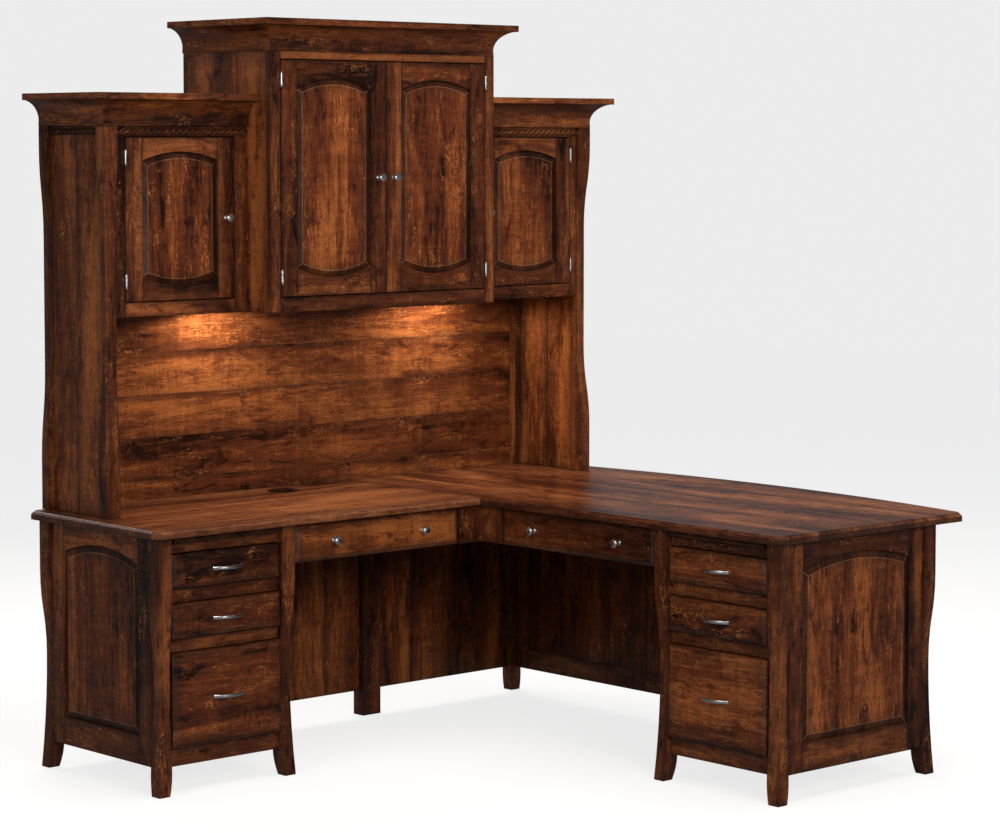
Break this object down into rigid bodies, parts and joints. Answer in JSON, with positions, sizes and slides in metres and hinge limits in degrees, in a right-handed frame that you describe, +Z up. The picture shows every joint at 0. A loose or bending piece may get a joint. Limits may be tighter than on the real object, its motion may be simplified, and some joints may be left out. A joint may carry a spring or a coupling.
{
  "type": "corner desk",
  "caption": "L-shaped corner desk on saber legs, with drawer pedestals, pencil drawers, writing slides and a stepped hutch of arched raised-panel doors under coved crowns.",
  "frame": {"origin": "centre of the bounding box's bottom face, on the floor", "axes": "+Z up; +Y towards the wall behind the hutch; +X along the hutch, towards the bowed visitor edge of the main wing"},
  "size_m": [2.167, 1.934, 2.255],
  "materials": {
    "stained_maple": "brown maple under a dark reddish-brown stain with darkened edges, satin lacquer",
    "desktop_maple": "the same stained maple as a flat lacquered top with a soft sheen",
    "back_maple": "the same stained maple as wide horizontal boards, satin lacquer",
    "drawer_maple": "clear-finished pale maple",
    "satin_nickel": "satin nickel plate",
    "pewter": "dark brushed pewter",
    "runner_steel": "zinc-plated steel",
    "lamp": "white housing with a frosted lens"
  },
  "bodies": {
    "desk": {"corner_block": "stained_maple", "corner_post": "stained_maple", "crown_mouldings": "stained_maple", "drawer_runners": "runner_steel", "fixed_hinge_leaves": "satin_nickel", "front_rails": "stained_maple", "grommet_liner": "pewter", "hutch_back": "back_maple", "hutch_cabinets": "stained_maple", "hutch_face_frames": "stained_maple", "hutch_posts": "stained_maple", "hutch_side_panels": "stained_maple", "kneehole_panels": "stained_maple", "main_desktop": "desktop_maple", "panel_frames": "stained_maple", "pedestal_carcasses": "stained_maple", "puck_lights": "lamp", "raised_panels": "stained_maple", "return_desktop": "desktop_maple", "rope_mouldings": "stained_maple", "saber_legs": "stained_maple"},
    "centre_left_door": {"centre_left_door_frame": "stained_maple", "centre_left_door_hardware": "satin_nickel", "centre_left_door_panel": "stained_maple"},
    "centre_right_door": {"centre_right_door_frame": "stained_maple", "centre_right_door_hardware": "satin_nickel", "centre_right_door_panel": "stained_maple"},
    "grommet_cap": {"grommet_cap": "pewter"},
    "main_file_drawer": {"main_file_drawer_box": "drawer_maple", "main_file_drawer_front": "stained_maple", "main_file_drawer_pull": "satin_nickel"},
    "main_middle_drawer": {"main_middle_drawer_box": "drawer_maple", "main_middle_drawer_front": "stained_maple", "main_middle_drawer_pull": "satin_nickel"},
    "main_pencil_drawer": {"main_pencil_drawer_front": "stained_maple", "main_pencil_drawer_knobs": "satin_nickel", "main_pencil_drawer_tray": "drawer_maple"},
    "main_top_drawer": {"main_top_drawer_box": "drawer_maple", "main_top_drawer_front": "stained_maple", "main_top_drawer_pull": "satin_nickel"},
    "main_writing_slide": {"main_writing_slide": "stained_maple"},
    "return_file_drawer": {"return_file_drawer_box": "drawer_maple", "return_file_drawer_front": "stained_maple", "return_file_drawer_pull": "satin_nickel"},
    "return_middle_drawer": {"return_middle_drawer_box": "drawer_maple", "return_middle_drawer_front": "stained_maple", "return_middle_drawer_pull": "satin_nickel"},
    "return_pencil_drawer": {"return_pencil_drawer_front": "stained_maple", "return_pencil_drawer_knobs": "satin_nickel", "return_pencil_drawer_tray": "drawer_maple"},
    "return_top_drawer": {"return_top_drawer_box": "drawer_maple", "return_top_drawer_front": "stained_maple", "return_top_drawer_pull": "satin_nickel"},
    "return_writing_slide": {"return_writing_slide": "stained_maple"},
    "side_left_door": {"side_left_door_frame": "stained_maple", "side_left_door_hardware": "satin_nickel", "side_left_door_panel": "stained_maple"},
    "side_right_door": {"side_right_door_frame": "stained_maple", "side_right_door_hardware": "satin_nickel", "side_right_door_panel": "stained_maple"}
  },
  "joints": [
    {"name": "return_top_drawer_slide", "type": "slide", "parent": "desk", "child": "return_top_drawer", "axis": [0, -1, 0], "range_m": [0, 0.44]},
    {"name": "return_middle_drawer_slide", "type": "slide", "parent": "desk", "child": "return_middle_drawer", "axis": [0, -1, 0], "range_m": [0, 0.44]},
    {"name": "return_file_drawer_slide", "type": "slide", "parent": "desk", "child": "return_file_drawer", "axis": [0, -1, 0], "range_m": [0, 0.44]},
    {"name": "return_writing_slide_travel", "type": "slide", "parent": "desk", "child": "return_writing_slide", "axis": [0, -1, 0], "range_m": [0, 0.3]},
    {"name": "main_top_drawer_slide", "type": "slide", "parent": "desk", "child": "main_top_drawer", "axis": [-1, 0, 0], "range_m": [0, 0.5]},
    {"name": "main_middle_drawer_slide", "type": "slide", "parent": "desk", "child": "main_middle_drawer", "axis": [-1, 0, 0], "range_m": [0, 0.5]},
    {"name": "main_file_drawer_slide", "type": "slide", "parent": "desk", "child": "main_file_drawer", "axis": [-1, 0, 0], "range_m": [0, 0.5]},
    {"name": "main_writing_slide_travel", "type": "slide", "parent": "desk", "child": "main_writing_slide", "axis": [-1, 0, 0], "range_m": [0, 0.3]},
    {"name": "return_pencil_drawer_slide", "type": "slide", "parent": "desk", "child": "return_pencil_drawer", "axis": [0, -1, 0], "range_m": [0, 0.28]},
    {"name": "main_pencil_drawer_slide", "type": "slide", "parent": "desk", "child": "main_pencil_drawer", "axis": [1, 0, 0], "range_m": [-0.32, 0]},
    {"name": "side_left_door_hinge", "type": "hinge", "parent": "desk", "child": "side_left_door", "pos_m": [-0.9423, 0.6338, 1.4114], "axis": [0, 0, -1], "range_deg": [0, 105]},
    {"name": "side_right_door_hinge", "type": "hinge", "parent": "desk", "child": "side_right_door", "pos_m": [0.8593, 0.6338, 1.4114], "axis": [0, 0, 1], "range_deg": [0, 105]},
    {"name": "centre_left_door_hinge", "type": "hinge", "parent": "desk", "child": "centre_left_door", "pos_m": [-0.4548, 0.5138, 1.4144], "axis": [0, 0, -1], "range_deg": [0, 105]},
    {"name": "centre_right_door_hinge", "type": "hinge", "parent": "desk", "child": "centre_right_door", "pos_m": [0.3718, 0.5138, 1.4144], "axis": [0, 0, 1], "range_deg": [0, 105]},
    {"name": "grommet_cap_lift", "type": "slide", "parent": "desk", "child": "grommet_cap", "axis": [0, 0, 1], "range_m": [0, 0.04]}
  ]
}
